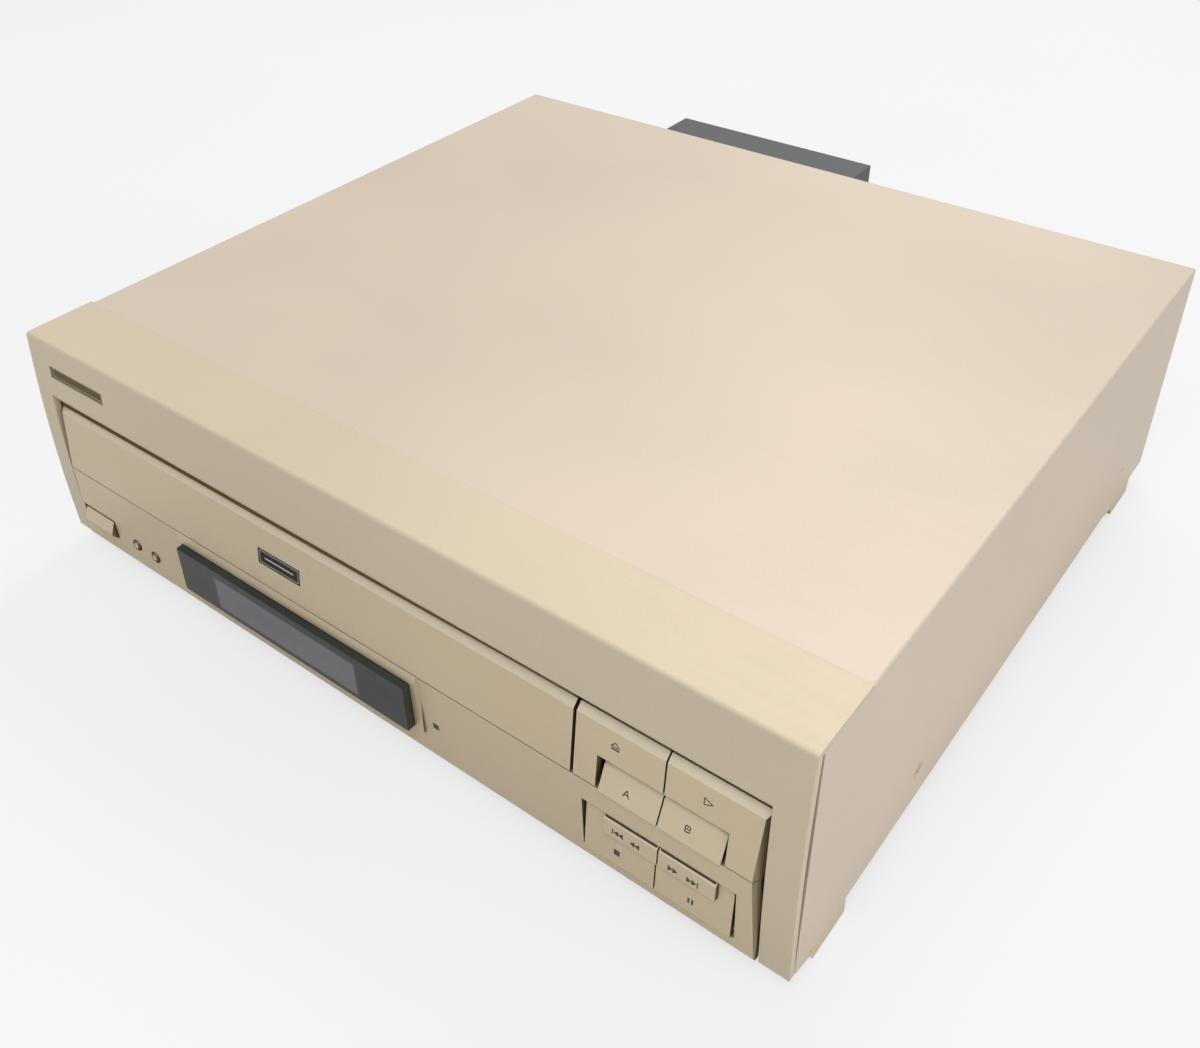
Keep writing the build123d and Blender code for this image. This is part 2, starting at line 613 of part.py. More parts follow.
def make_boards():
    """Display tube, display board, key board, ribbon, main board, transformer, sockets and inlet."""
    tube = block(window_left + 9.5, window_right - 8.7, window_inner + 0.4, tube_back, 27.0, 46.5)
    parts["display_tube"] = tube
    tube_board_rear = tube_back + board_thick
    board_x0 = window_left - 12.5
    board_x1 = window_right + 7.3
    parts["display_board"] = block(board_x0, board_x1, tube_back, tube_board_rear, 15.0, 53.0)
    switches = [(x, block_stem_z) for x in block_stems]
    side_z = side_key_top - side_stem_drop
    skip_z = skip_top - skip_stem_drop
    stop_z = stop_low + stop_stem
    switches += [(middle(side_a_ends), side_z), (middle(side_b_ends), side_z)]
    switches += [(middle(skip_back_ends), skip_z), (middle(skip_forward_ends), skip_z)]
    switches += [(stop_ends[0] + stop_stem, stop_z), (pause_ends[1] - stop_stem, stop_z)]
    pad = 3.0
    board_rear_face = board_back + board_thick
    boards = block(eject_left + 1.3, face_right + 2.2, board_back, board_rear_face, 15.0, 92.0)
    for x, z in switches:
        boards += block(x - pad, x + pad, board_back - switch_deep, board_back, z - pad, z + pad)
    left = block(face_left - 0.5, face_left + 65.5, board_back, board_rear_face, 15.0, 34.0)
    for x in (middle(power_box[:2]), round_centres[0][0], round_centres[1][0]):
        left += block(x - pad, x + pad, board_back - switch_deep, board_back, 22.0, 28.0)
    parts["switch_boards"] = boards + left
    # Brackets that carry the front boards from the chassis floor
    brackets = []
    bracket_thick = 1.6
    foot_rear = board_back + 9.0
    for x in (face_left + 3.5, face_left + 61.5, eject_left + 6.3, face_right - 3.8):
        brackets.append((x, board_rear_face, 32.0))
    for x in (window_left - 5.5, window_right + 0.3):
        brackets.append((x, tube_board_rear, 30.0))
    rails = None
    for x, b, z_top in brackets:
        rail = block(x - pad, x + pad, b, b + bracket_thick, floor_z, z_top)
        rail += block(x - pad, x + pad, b + bracket_thick, foot_rear, floor_z, floor_z + 1.5)
        rails = rail if rails is None else rails + rail
    parts["board_brackets"] = rails
    # Flat ribbon from the display board over the floor to the main board
    thin = 0.5
    wide = 14.0
    low = 15.5
    b0 = tube_board_rear
    fold_b = board_front + 10.0
    fold_x = board_left + 4.0
    ribbon = block(0, wide, b0, b0 + thin, low + thin, 24.0)
    ribbon += block(0, wide, b0, b0 + wide, low, low + thin)
    ribbon += block(0, fold_x + wide, b0 + wide, b0 + 2 * wide, low, low + thin)
    ribbon += block(fold_x, fold_x + wide, b0 + 2 * wide, fold_b, low, low + thin)
    ribbon += block(fold_x, fold_x + wide, fold_b - thin, fold_b, low + thin, board_z)
    parts["display_ribbon"] = ribbon
    # Main board at the right of the mechanism, on posts
    board_right = half - 8.0
    board = block(board_left, board_right, board_front, board_rear, board_z, board_z + board_thick)
    for x in (board_left + 6, board_right - 6):
        for b in (board_front + 14, board_rear - 9):
            board += post(x, b, floor_z, board_z, 3.0)
    parts["main_board"] = board
    top = board_z + board_thick
    chips = None
    cans_deep = 75.0
    chip_pitch = (board_rear - board_front - cans_deep) / 4
    for n, (dx, w, d) in enumerate(((28, 24, 24), (54, 18, 30), (24, 34, 12), (58, 20, 20))):
        x = board_left + dx
        b = board_front + (n + 1) * chip_pitch
        chip = block(x - w / 2, x + w / 2, b - d / 2, b + d / 2, top, top + 3.0)
        chips = chip if chips is None else chips + chip
    parts["board_chips"] = chips
    cans = None
    sizes = ((18, 55, 8, 26), (38, 49, 8, 26), (18, 29, 6, 18), (60, 35, 9, 30), (43, 23, 5, 14))
    for dx, db, r, h in sizes:
        can = post(board_left + dx, board_rear - db, top, top + h, r)
        cans = can if cans is None else cans + can
    parts["board_capacitors"] = cans
    # Transformer: laminated core on two feet with a coil round its middle limb
    core_x = half - 44.0
    core_b = case_depth - 69.0
    core_deep = 54.0
    core_half = 28.0
    limb = 7.0
    window = 9.0
    sill = 12.0
    core_low = floor_z + 3
    core_high = 56.0
    coil_low = core_low + 9.0
    coil_high = core_high - 9.0
    front = core_b - core_deep / 2
    rear = core_b + core_deep / 2
    core = block(core_x - core_half, core_x + core_half, front, rear, core_low, core_high)
    for side in (-1, 1):
        lo, hi = sorted((core_x + side * limb, core_x + side * (limb + window)))
        core -= block(lo, hi, front - sill, rear + sill, coil_low, coil_high)
    for b in (front + 7, rear - 7):
        core += block(core_x - core_half - 6, core_x + core_half + 6, b - 3, b + 3, floor_z, core_low)
    parts["power_transformer"] = core
    slack = 0.3
    reach = 6.0
    wrap = limb + window - slack
    coil_z = (coil_low + slack, coil_high - slack)
    coil = block(core_x - wrap, core_x + wrap, front - reach, rear + reach, *coil_z)
    coil -= block(core_x - limb - slack, core_x + limb + slack, front - slack, rear + slack, 0, 100)
    parts["transformer_coil"] = coil
    # Sockets and mains inlet in the rear panel
    panel_in = case_depth - 2.8
    side = 0.3
    high = 8.6
    jack_ends = (jack_left + side, jack_right - side)
    jack = block(*jack_ends, panel_in - 12.0, case_depth - 1.2, jack_z - high, jack_z + high)
    jack += block(jack_left - 3, jack_right + 3, panel_in - 2.3, panel_in - 0.1, jack_z - 12, jack_z + 12)
    jack += block(jack_left + 10, jack_right - 10, panel_in - 10, panel_in - 8, floor_z, jack_z - 8)
    pitch = (jack_right - jack_left) / jack_count
    for n in range(jack_count):
        x = jack_left + pitch * (n + 0.5)
        jack += rod_y(x, jack_z, case_depth - 1.3, case_depth + 8.0, 4.2)
        jack -= rod_y(x, jack_z, case_depth - 4.0, case_depth + 9.0, 1.6)
    parts["rear_sockets"] = jack
    inlet = block(inlet_x - 12, inlet_x + 12, panel_in - 14, case_depth - 1.0, inlet_z - 8, inlet_z + 8)
    inlet += block(inlet_x - 14, inlet_x + 14, panel_in - 3, panel_in - 0.1, inlet_z - 10, inlet_z + 10)
    inlet -= block(inlet_x - 8, inlet_x + 8, case_depth - 12, case_depth + 5, inlet_z - 4.5, inlet_z + 4.5)
    for x in (inlet_x - 3.5, inlet_x + 3.5):
        inlet += rod_y(x, inlet_z, case_depth - 12.5, case_depth - 4, 1.2)
    parts["mains_inlet"] = inlet



def make_tray():
    """Door, tray and its guides."""
    door = skin(crease_z + 0.2, door_top, face_left - bevel_wide, door_right)
    door -= end_bevel(face_left, -1)
    x0, x1, z0, z1 = emblem_box
    pocket = side_profile([(face_back(z0) - 3, z0), (face_back(z0) + 0.5, z0),
                           (face_back(z1) + 0.5, z1), (face_back(z1) - 3, z1)], x0, x1)
    door -= pocket
    door += block(tray_left + 2, tray_right - 2, 3.4, tray_front, tray_bottom, tray_top)
    parts["tray_door"] = door
    inset = 0.2
    z0 += inset
    z1 -= inset
    plate = side_profile([(face_back(z0) + 0.1, z0), (face_back(z0) + 0.5, z0),
                          (face_back(z1) + 0.5, z1), (face_back(z1) + 0.1, z1)], x0 + inset, x1 - inset)
    parts["door_emblem"] = plate

    tray = block(tray_left, tray_right, tray_front, tray_tail, tray_bottom, tray_top)
    tray -= post(disc_x, disc_back, large_seat, tray_top + 1, disc_r)
    tray -= post(disc_x, disc_back, small_seat, tray_top + 1, small_disc_r)
    lower_r = disc_r - 6.0
    tray -= post(disc_x, disc_back, large_seat - 1.0, tray_top + 1, lower_r) - post(
        disc_x, disc_back, large_seat - 2.0, tray_top + 2, small_disc_r + 6.0)
    half_slot = slot_wide / 2
    tray -= block(disc_x - half_slot, disc_x + half_slot, disc_back, tray_tail + 1, 0, 100)
    tray -= post(disc_x, disc_back, 0, 100, half_slot)
    # Open rear between the two tails, behind the disc
    rear_b = disc_back + disc_r + 10.0
    tray -= block(tray_left + 24, tray_right - 24, rear_b, tray_tail + 1, 0, 100)
    # Finger notches at the left and right of the disc
    for side in (-1, 1):
        tray -= post(disc_x + side * (disc_r - 2), disc_back, large_seat - 1.0, 100, 14.0)
    # Underside hollows leave a plate with ribs
    for x0, x1 in ((rack_x + 6, disc_x - 76), (disc_x - 72, disc_x - 40), (disc_x + 40, disc_x + 72),
                   (disc_x + 76, tray_right - 18)):
        for b0, b1 in ((20.0, 90.0), (94.0, 160.0), (164.0, 236.0), (240.0, 306.0)):
            tray -= block(x0, x1, b0, b1, tray_bottom - 1, tray_bottom + 2.5)
    tray += rack(rack_x, tray_front + 6, tray_tail, rack_low, tray_bottom, tooth_module, 1, drive_back)
    parts["disc_tray"] = tray

    rails = None
    rail_clear = 0.4
    for side, edge in ((-1, tray_left), (1, tray_right)):
        wall = edge + side * rail_clear
        lo, hi = sorted((wall, wall + side * 4.0))
        rail = block(lo, hi, base_front, rail_rear, tray_bottom - 6, tray_top + 4)
        lo, hi = sorted((wall + side * 1.0, wall - side * 3.4))
        rail += block(lo, hi, base_front, rail_rear, tray_bottom - 6, tray_bottom - rail_clear)
        rail += block(lo, hi, base_front, rail_rear, tray_top + rail_clear, tray_top + 4)
        rails = rail if rails is None else rails + rail
    parts["tray_guides"] = rails



def make_drive():
    """Loading motor, belt and gears that move the tray."""
    drive_x = rack_x + drive_teeth * tooth_module / 2
    pinion_x = drive_x + (drive_teeth + pinion_teeth) * tooth_module / 2
    motor_x = pinion_x + belt_run
    shaft_r = 2.0
    low = base_top + 0.3
    gear_low = rack_low + 0.5
    gear_high = tray_bottom - 1.5
    parts["tray_drive_gear"] = gear(drive_x, drive_back, gear_low, gear_high, drive_teeth, tooth_module,
                                    shaft_r + shaft_clear)
    bore = shaft_r + shaft_clear
    half_tooth = 180 / pinion_teeth
    pinion = gear(pinion_x, drive_back, gear_low, gear_high, pinion_teeth, tooth_module, bore, half_tooth)
    pulley_low = low + 0.3
    pulley_high = gear_low
    rim = 1.4
    belt_skin = 1.3
    belt_seat = 0.3
    wheel = post(pinion_x, drive_back, pulley_low, pulley_high, pulley_r + rim)
    belt_z0 = pulley_low + 1.8
    belt_z1 = belt_z0 + 3.0
    groove = post(pinion_x, drive_back, belt_z0 - 0.3, belt_z1 + 0.3, 40) - post(
        pinion_x, drive_back, belt_z0 - 1, belt_z1 + 1, pulley_r)
    wheel = wheel - groove - post(pinion_x, drive_back, 0, 100, shaft_r + shaft_clear)
    parts["pulley_gear"] = wheel + pinion
    wheel = post(motor_x, drive_back, pulley_low, pulley_high, motor_pulley_r + rim)
    groove = post(motor_x, drive_back, belt_z0 - 0.3, belt_z1 + 0.3, 20) - post(
        motor_x, drive_back, belt_z0 - 1, belt_z1 + 1, motor_pulley_r)
    parts["motor_pulley"] = wheel - groove - post(motor_x, drive_back, 0, 100, 1.0 + shaft_clear)
    # Belt: outer minus inner outline of the two pulleys
    belt = belt_outline(pinion_x, motor_x, pulley_r + belt_skin, motor_pulley_r + belt_skin, belt_z0, belt_z1)
    inner = (pulley_r + belt_seat, motor_pulley_r + belt_seat)
    belt -= belt_outline(pinion_x, motor_x, *inner, belt_z0 - 1, belt_z1 + 1)
    parts["loading_belt"] = belt
    # Motor under the base, its shaft through the base
    motor = post(motor_x, drive_back, 22.0, base_z, 12.0)
    motor += post(motor_x, drive_back, base_z - 1, base_top + 0.2, 4.0)
    motor += post(motor_x, drive_back, base_z, pulley_high, 1.0)
    parts["loading_motor"] = motor
    shafts = post(drive_x, drive_back, base_top, gear_high + 0.8, shaft_r)
    shafts += post(drive_x, drive_back, base_top, gear_low - 0.3, shaft_r + 2)
    shafts += post(pinion_x, drive_back, base_top, gear_high + 0.8, shaft_r)
    parts["gear_shafts"] = shafts
    return drive_x, pinion_x, motor_x


def belt_outline(x0, x1, r0, r1, z0, z1):
    """Closed prism round two circles on a line across the width."""
    run = x1 - x0
    lean = math.asin((r0 - r1) / run)
    c = math.cos(lean)
    s = math.sin(lean)
    points = [(x0 + r0 * s, drive_back + r0 * c), (x1 + r1 * s, drive_back + r1 * c)]
    points += [(x1 + r1 * s, drive_back - r1 * c), (x0 + r0 * s, drive_back - r0 * c)]
    return plan(points, z0, z1) + post(x0, drive_back, z0, z1, r0) + post(x1, drive_back, z0, z1, r1)


def make_mechanism(motor_x):
    """Base plate, dampers, spindle, clamper, pickup and sled drive."""
    left_wall = tray_left - 4.8
    right_wall = tray_right + 4.8
    base = block(left_wall, right_wall, base_front, base_rear, base_z, base_top)
    inside = 0.4
    outside = 0.8
    base += block(left_wall - outside, left_wall + inside, base_front, base_rear, base_z, wall_top)
    base += block(right_wall - inside, right_wall + outside, base_front, base_rear, base_z, wall_top)
    tongue = 34.0
    tongue_end = case_depth + bulge_depth - 6.0
    base += block(disc_x - tongue, disc_x + tongue, base_rear - 1, tongue_end, base_z, base_top)
    base -= post(motor_x, drive_back, 0, base_top + 1, 4.0 + shaft_clear)
    hole_left = tray_left + 14.5
    hole_right = tray_right - 14.0
    for x0, x1, b0, b1 in ((hole_left, disc_x - 50, 80, 150), (hole_left, disc_x - 50, 200, 300),
                           (disc_x + 60, hole_right, 70, 150), (disc_x + 60, hole_right, 200, 290)):
        base -= block(x0, x1, b0, b1, 0, base_top + 1)
    for x in damper_x:
        for b in damper_b:
            base -= post(x, b, 0, base_top + 1, 3.0)
    parts["mechanism_base"] = base
    dampers = None
    for x in damper_x:
        for b in damper_b:
            pad = post(x, b, floor_z, base_z, 8.0) - post(x, b, 22, 28, 20) + post(x, b, 21, 29, 6.5)
            pad += post(x, b, base_z - 1, base_top, 2.9) + post(x, b, base_top, base_top + 2.0, 5.0)
            dampers = pad if dampers is None else dampers + pad
    parts["mechanism_dampers"] = dampers

    motor = post(disc_x, disc_back, base_top, 62.0, spindle_motor_r)
    motor += post(disc_x, disc_back, 61.0, 73.0, 2.0)
    parts["spindle_motor"] = motor
    plate = post(disc_x, disc_back, turntable_z - 3, turntable_z, turntable_r)
    plate += post(disc_x, disc_back, 66.0, turntable_z, 12.0)
    plate += post(disc_x, disc_back, turntable_z, turntable_z + 1.2, 17.0)
    cone = Pos(disc_x, front_y + disc_back, turntable_z + 3.2) * Cone(hub_r, hub_r - 2.4, 4.0)
    plate += cone
    plate -= post(disc_x, disc_back, 60, 73.2, 2.0 + shaft_clear)
    ring = post(disc_x, disc_back, turntable_z - 0.8, turntable_z + 1, turntable_r - 2) - post(
        disc_x, disc_back, 60, 90, turntable_r - 9)
    parts["turntable"] = plate - ring
    parts["turntable_pad"] = ring & block(-300, 300, 0, 400, turntable_z - 0.8, turntable_z)

    # Clamp bridge across the walls, with two lugs that hold the arm's pin
    bridge_b0 = arm_pivot_back + 6.0
    bridge = block(left_wall - 0.4, right_wall + 0.4, bridge_b0, bridge_b0 + 24, wall_top, wall_top + 1.5)
    bridge += block(disc_x - 30, disc_x + 30, bridge_b0 + 0.5, bridge_b0 + 2.0, wall_top, arm_pivot_z + 2)
    for x in (disc_x - 24, disc_x + 20):
        bridge += block(x, x + 4, arm_pivot_back - 4, bridge_b0 + 4, wall_top, arm_pivot_z + 4)
    bridge -= rod_x(disc_x - 40, disc_x + 40, arm_pivot_back, arm_pivot_z, arm_pin_r + shaft_clear)
    parts["clamp_bridge"] = bridge
    arm_low = arm_pivot_z - 2.0
    arm = block(disc_x - 14, disc_x + 14, disc_back, arm_pivot_back, arm_low, arm_low + 2.0)
    arm += post(disc_x, disc_back, arm_low, arm_low + 2.0, 20.0)
    arm += rod_x(disc_x - 19.6, disc_x + 19.6, arm_pivot_back, arm_pivot_z, 3.6)
    arm += rod_x(disc_x - 24.5, disc_x + 24.5, arm_pivot_back, arm_pivot_z, arm_pin_r)
    for x in (disc_x - 14, disc_x + 12.5):
        arm += block(x, x + 1.5, disc_back + 24, arm_pivot_back - 2, arm_low, arm_low + 6.0)
    neck_r = 9.0
    arm -= post(disc_x, disc_back, 0, 200, neck_r + 0.5)
    parts["clamp_arm"] = arm
    disc = post(disc_x, disc_back, turntable_z + 7.0, arm_low - 0.35, clamper_r)
    disc += post(disc_x, disc_back, arm_low - 1, arm_low + 2.3, neck_r)
    disc += post(disc_x, disc_back, arm_low + 2.3, arm_low + 4.0, neck_r + 5)
    disc -= post(disc_x, disc_back, turntable_z + 6, turntable_z + 9.0, hub_r + 1.0)
    disc -= post(disc_x, disc_back, arm_low - 3.5, arm_low + 0, clamper_r - 4) - post(
        disc_x, disc_back, 0, 200, neck_r + 6)
    parts["disc_clamper"] = disc

    # Guide rods in front and rear brackets
    rod_b0 = disc_back + spindle_motor_r + 3.0
    rod_b1 = case_depth + bulge_depth - 10.0
    rods = None
    brackets = None
    for b in (rod_b0, rod_b1 - 5.0):
        bar = block(disc_x - rod_spread - 5, disc_x + rod_spread + 5, b, b + 5.0, base_top, rod_z + 4.5)
        brackets = bar if brackets is None else brackets + bar
    for side in (-1, 1):
        rod = rod_y(disc_x + side * rod_spread, rod_z, rod_b0 + 0.5, rod_b1 - 0.5, rod_r)
        rods = rod if rods is None else rods + rod
    brackets -= rods
    parts["guide_rods"] = rods
    parts["rod_brackets"] = brackets
    b0 = sled_back - sled_long / 2
    b1 = sled_back + sled_long / 2
    carriage = block(disc_x - 26, disc_x + 24.0, b0, b1, rod_z - 5, rod_z + 7)
    carriage += block(disc_x - 12, disc_x + 12, b0 + 3, b1 - 3, rod_z + 6, 68.0)
    carriage -= rod_y(disc_x - rod_spread, rod_z, 0, 500, rod_r + shaft_clear)
    carriage -= rod_y(disc_x + rod_spread, rod_z, 0, 500, rod_r + shaft_clear)
    carriage -= post(disc_x, sled_back, 60, 90, 5.6)
    rack_at = disc_x + 28.0
    rack_end = b0 + sled_travel + 20.0
    carriage += rack(rack_at, b0, rack_end, rod_z + 4, rod_z + 8, sled_module, 1, sled_gear_back)
    parts["pickup_carriage"] = carriage
    lens = post(disc_x, sled_back, 60.0, 67.0, 5.3) + post(disc_x, sled_back, 66.9, 70.5, 3.6)
    parts["objective_lens"] = lens
    gear_x = rack_at + sled_teeth * sled_module / 2
    gear_z0 = rod_z + 4.2
    bore = 1.5 + shaft_clear
    parts["sled_gear"] = gear(gear_x, sled_gear_back, gear_z0, gear_z0 + 4, sled_teeth, sled_module, bore)
    motor = post(gear_x, sled_gear_back, base_top, gear_z0 - 0.4, 9.0) + post(
        gear_x, sled_gear_back, base_top, gear_z0 + 4.6, 1.5)
    parts["sled_motor"] = motor
    # Turn-over guide: half-round channel plates standing on the tongue inside the bulge
    guide = None
    spread = rod_spread + 10.0
    turn_b = case_depth + 3.0
    turn_z = 78.0
    bar_z = 107.5
    for side in (-1, 1):
        x = disc_x + side * spread
        ring = rod_x(x - 1, x + 1, turn_b, turn_z, 33.0) - rod_x(x - 2, x + 2, turn_b, turn_z, 27.0)
        ring &= block(-half, half, turn_b, turn_b + 100, 0, top_z)
        ring += block(x - 1, x + 1, turn_b, turn_b + 6.0, base_top, 52.0)
        ring += block(x - 3, x + 3, turn_b, turn_b + 17.0, base_top, base_top + 1.2)
        guide = ring if guide is None else guide + ring
    guide += block(disc_x - spread, disc_x + spread, turn_b + 1, turn_b + 5, bar_z - 1, bar_z + 1)
    parts["turn_over_guide"] = guide


make_case()
make_controls()
make_boards()
make_tray()
drive_x, pinion_x, motor_x = make_drive()
make_mechanism(motor_x)

os.makedirs("parts", exist_ok=True)
for name, shape in parts.items():
    solids = shape.solids()
    body = solids[0] if len(solids) == 1 else Compound(children=list(solids))
    export_step(body, f"parts/{name}.step")
print(len(parts), "parts")
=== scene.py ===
import json
import math

import bmesh
import bpy
from mathutils import Matrix, Vector
from mathutils.bvhtree import BVHTree

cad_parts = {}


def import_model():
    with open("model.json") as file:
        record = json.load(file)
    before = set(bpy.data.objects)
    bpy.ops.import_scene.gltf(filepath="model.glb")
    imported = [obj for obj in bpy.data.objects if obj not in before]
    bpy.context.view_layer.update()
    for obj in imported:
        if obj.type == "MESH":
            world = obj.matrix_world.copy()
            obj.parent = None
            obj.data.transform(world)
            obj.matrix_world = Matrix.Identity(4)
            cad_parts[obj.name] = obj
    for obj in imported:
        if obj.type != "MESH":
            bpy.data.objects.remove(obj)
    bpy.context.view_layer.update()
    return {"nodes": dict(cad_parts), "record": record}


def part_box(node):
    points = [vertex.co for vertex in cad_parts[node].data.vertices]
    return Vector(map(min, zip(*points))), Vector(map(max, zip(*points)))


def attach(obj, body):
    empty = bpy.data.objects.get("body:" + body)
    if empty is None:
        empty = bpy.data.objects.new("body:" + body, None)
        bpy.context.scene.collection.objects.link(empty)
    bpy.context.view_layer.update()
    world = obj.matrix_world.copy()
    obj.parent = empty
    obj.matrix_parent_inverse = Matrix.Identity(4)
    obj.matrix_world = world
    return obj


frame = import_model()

# The scene is in metres. Marks, trim and edge radii are given in millimetres.
MM = 0.001
nodes = frame["nodes"]
record = frame["record"]
body_of = {node: body for body, members in record["behaviour"]["bodies"].items() for node in members}
slot_of = {row["node"]: row["material_slot"] for row in record["subparts"]}

# Paint: a pale for worn edges and for painted highlights, dark browns of painted shade for narrow gaps
# and for sideways faces, then mottle, grain depth and edge radius
gold_pale = (0.86, 0.78, 0.62)
gap_shade_colour = (0.055, 0.032, 0.010)
side_shade_colour = (0.17, 0.115, 0.045)
mottle = 0.05
paint_grain_depth = 0.02
fine_edge = 0.3

# Display: margins of the lit area inside the window, and the softness of its border
lit_left = 25.5
lit_right = 29.0
lit_bottom = 2.5
lit_top = 4.5
lit_soft = 0.8

# Printed marks: line width, and how far a print stands in front of its face
line = 0.4
proud = 0.05
ray_from = -1.0

# Painted shade: dark lips hung in the gaps over the door and the power button, and dark strips along the
# tops of the skip keys
lip_thick = 0.8
door_shade_front = -215.7
door_shade_top = 93.3
door_shade_left_gap = 1.5
door_shade_right_gap = 0.5
door_shade_deep = 3.2
door_shade_taper = 1.9
door_shade_steps = 40
power_gap = 1.6
power_shade_deep = 1.5
power_shade_hold = 0.2
power_shade_back = 0.25
skip_shade_low = -0.62
skip_shade_high = -0.08
skip_shade_margin = 0.5

# Painted shade round the round buttons: a dark ring in the panel and a dark ring on the button's edge
ring_thick = 0.15
ring_steps = 32
panel_shade_ring = {"inner": 2.3, "outer": 3.25, "back": 0.6}
button_shade_ring = {"inner": 1.65, "outer": 2.2, "back": -0.05}

# Studio, and the size of the photograph's frame in pixels
floor_reach = 6.0
floor_drop = 0.3
image_wide = 1200
image_high = 1048


# ---------------------------------------------------------------- shader nodes

def tint(colour, factor, lift=0.0):
    """The colour made darker or lighter, and no brighter than white."""
    return tuple(min(1.0, c * factor + lift) for c in colour)


class Shader:
    """A small builder for one procedural material."""

    def __init__(self, name):
        self.material = bpy.data.materials.new(name)
        self.material.use_nodes = True
        self.tree = self.material.node_tree
        self.tree.nodes.clear()
        self.out = self.add("ShaderNodeOutputMaterial")
        self.body = self.add("ShaderNodeBsdfPrincipled")
        self.link(self.body.outputs[0], self.out.inputs["Surface"])
        coordinates = self.add("ShaderNodeTexCoord")
        self.place = coordinates.outputs["Object"]
        self.facing = coordinates.outputs["Normal"]

    def link(self, a, b):
        self.tree.links.new(a, b)

    def add(self, kind, **values):
        node = self.tree.nodes.new(kind)
        for key, value in values.items():
            setattr(node, key, value)
        return node

    def noise(self, scale, detail=3.0, stretch=(1, 1, 1)):
        mapping = self.add("ShaderNodeMapping")
        mapping.inputs["Scale"].default_value = stretch
        self.link(self.place, mapping.inputs["Vector"])
        node = self.add("ShaderNodeTexNoise")
        node.inputs["Scale"].default_value = scale
        node.inputs["Detail"].default_value = detail
        self.link(mapping.outputs[0], node.inputs["Vector"])
        return node.outputs["Fac"]

    def split(self, vector):
        """X, Y and Z of a vector."""
        node = self.add("ShaderNodeSeparateXYZ")
        self.link(vector, node.inputs[0])
        return node.outputs

    def ramp(self, value, low, high, out_low=0.0, out_high=1.0):
        node = self.add("ShaderNodeMapRange", clamp=True)
        node.inputs["From Min"].default_value = low
        node.inputs["From Max"].default_value = high
        node.inputs["To Min"].default_value = out_low
        node.inputs["To Max"].default_value = out_high
        self.link(value, node.inputs["Value"])
        return node.outputs[0]

    def mix(self, factor, a, b):
        """From a to b, each a colour or another node's colour."""
        node = self.add("ShaderNodeMix", data_type="RGBA")
        self.link(factor, node.inputs[0])
        for socket, value in ((node.inputs[6], a), (node.inputs[7], b)):
            if isinstance(value, tuple):
                socket.default_value = (*value, 1.0)
            else:
                self.link(value, socket)
        return node.outputs[2]

    def maths(self, operation, a, b=0.0):
        node = self.add("ShaderNodeMath", operation=operation)
        for socket, value in zip(node.inputs, (a, b)):
            if isinstance(value, float):
                socket.default_value = value
            else:
                self.link(value, socket)
        return node.outputs[0]

    def rounded(self, radius):
        """Normal of a surface whose edges are rounded by a radius in millimetres."""
        bevel = self.add("ShaderNodeBevel", samples=4)
        bevel.inputs["Radius"].default_value = radius * MM
        return bevel.outputs[0]

    def edge(self, radius):
        """1 along outer edges: where the rounded normal leaves the true one."""
        geometry = self.add("ShaderNodeNewGeometry")
        dot = self.add("ShaderNodeVectorMath", operation="DOT_PRODUCT")
        self.link(self.rounded(radius), dot.inputs[0])
        self.link(geometry.outputs["Normal"], dot.inputs[1])
        away = self.maths("SUBTRACT", 1.0, dot.outputs["Value"])
        return self.ramp(away, 0.02, 0.3)

    def crevice(self, reach, open_at):
        """1 deep in a narrow gap, 0 on a face that is open for reach millimetres."""
        hidden = self.add("ShaderNodeAmbientOcclusion", samples=8)
        hidden.inputs["Distance"].default_value = reach * MM
        return self.ramp(hidden.outputs["AO"], 0.15, open_at, 1.0, 0.0)

    def colour(self, tone):
        self.link(tone, self.body.inputs["Base Color"])

    def roughness(self, value):
        self.link(value, self.body.inputs["Roughness"])

    def bump(self, height, strength, depth, radius=0.0):
        """Relief of depth millimetres, over edges rounded by radius."""
        node = self.add("ShaderNodeBump")
        node.inputs["Strength"].default_value = strength
        node.inputs["Distance"].default_value = depth * MM
        self.link(height, node.inputs["Height"])
        if radius:
            self.link(self.rounded(radius), node.inputs["Normal"])
        self.link(node.outputs[0], self.body.inputs["Normal"])


# ---------------------------------------------------------------- materials

